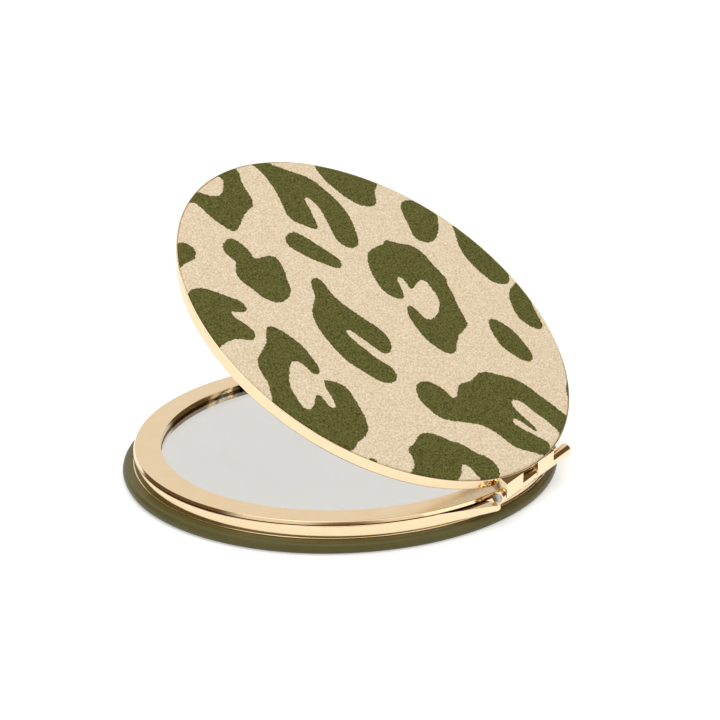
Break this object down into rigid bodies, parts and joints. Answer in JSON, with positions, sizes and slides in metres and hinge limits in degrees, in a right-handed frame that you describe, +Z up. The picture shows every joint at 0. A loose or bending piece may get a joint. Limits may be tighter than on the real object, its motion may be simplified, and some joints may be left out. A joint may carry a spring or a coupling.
{
  "type": "compact mirror",
  "caption": "Round hinged compact mirror with gold-tone frames, a mirror in each half, a leopard-print suede lid and an olive leather underside.",
  "frame": {"origin": "centre of the leather underside, on the surface that the compact lies on", "axes": "+Z up through the base, +X along the hinge pin, +Y from the centre to the hinge at the back"},
  "size_m": [0.0708, 0.0718, 0.0464],
  "materials": {
    "gold_plate": "polished pale gold plate",
    "olive_leather": "smooth olive leather, low sheen",
    "printed_suede": "beige suede with olive leopard print",
    "mirror_glass": "clear polished glass",
    "mirror_silver": "silver coat behind the glass",
    "foam": "soft foam, matt",
    "board": "fibre board",
    "tape": "double-sided adhesive tape",
    "magnet": "nickel-plated magnet",
    "steel_pin": "plain steel"
  },
  "bodies": {
    "base": {"base_frame": "gold_plate", "base_bezel_ring": "gold_plate", "base_closure_magnet": "magnet", "base_leather_cover": "olive_leather", "base_mirror_glass": "mirror_glass", "base_mirror_silver_film": "mirror_silver", "base_mirror_tape": "tape", "base_cover_pad": "foam", "base_cover_board": "board", "base_cover_tape": "tape", "hinge_pin": "steel_pin"},
    "lid": {"lid_frame": "gold_plate", "lid_bezel_ring": "gold_plate", "lid_closure_magnet": "magnet", "lid_mirror_glass": "mirror_glass", "lid_mirror_silver_film": "mirror_silver", "lid_mirror_tape": "tape", "lid_print_inlay": "printed_suede", "lid_inlay_foam": "foam", "lid_inlay_glue": "tape"}
  },
  "joints": [
    {"name": "lid_hinge", "type": "hinge", "parent": "base", "child": "lid", "pos_m": [0, 0.0353, 0.0053], "axis": [-1, 0, 0], "range_deg": [-33.8, 116.2]}
  ]
}
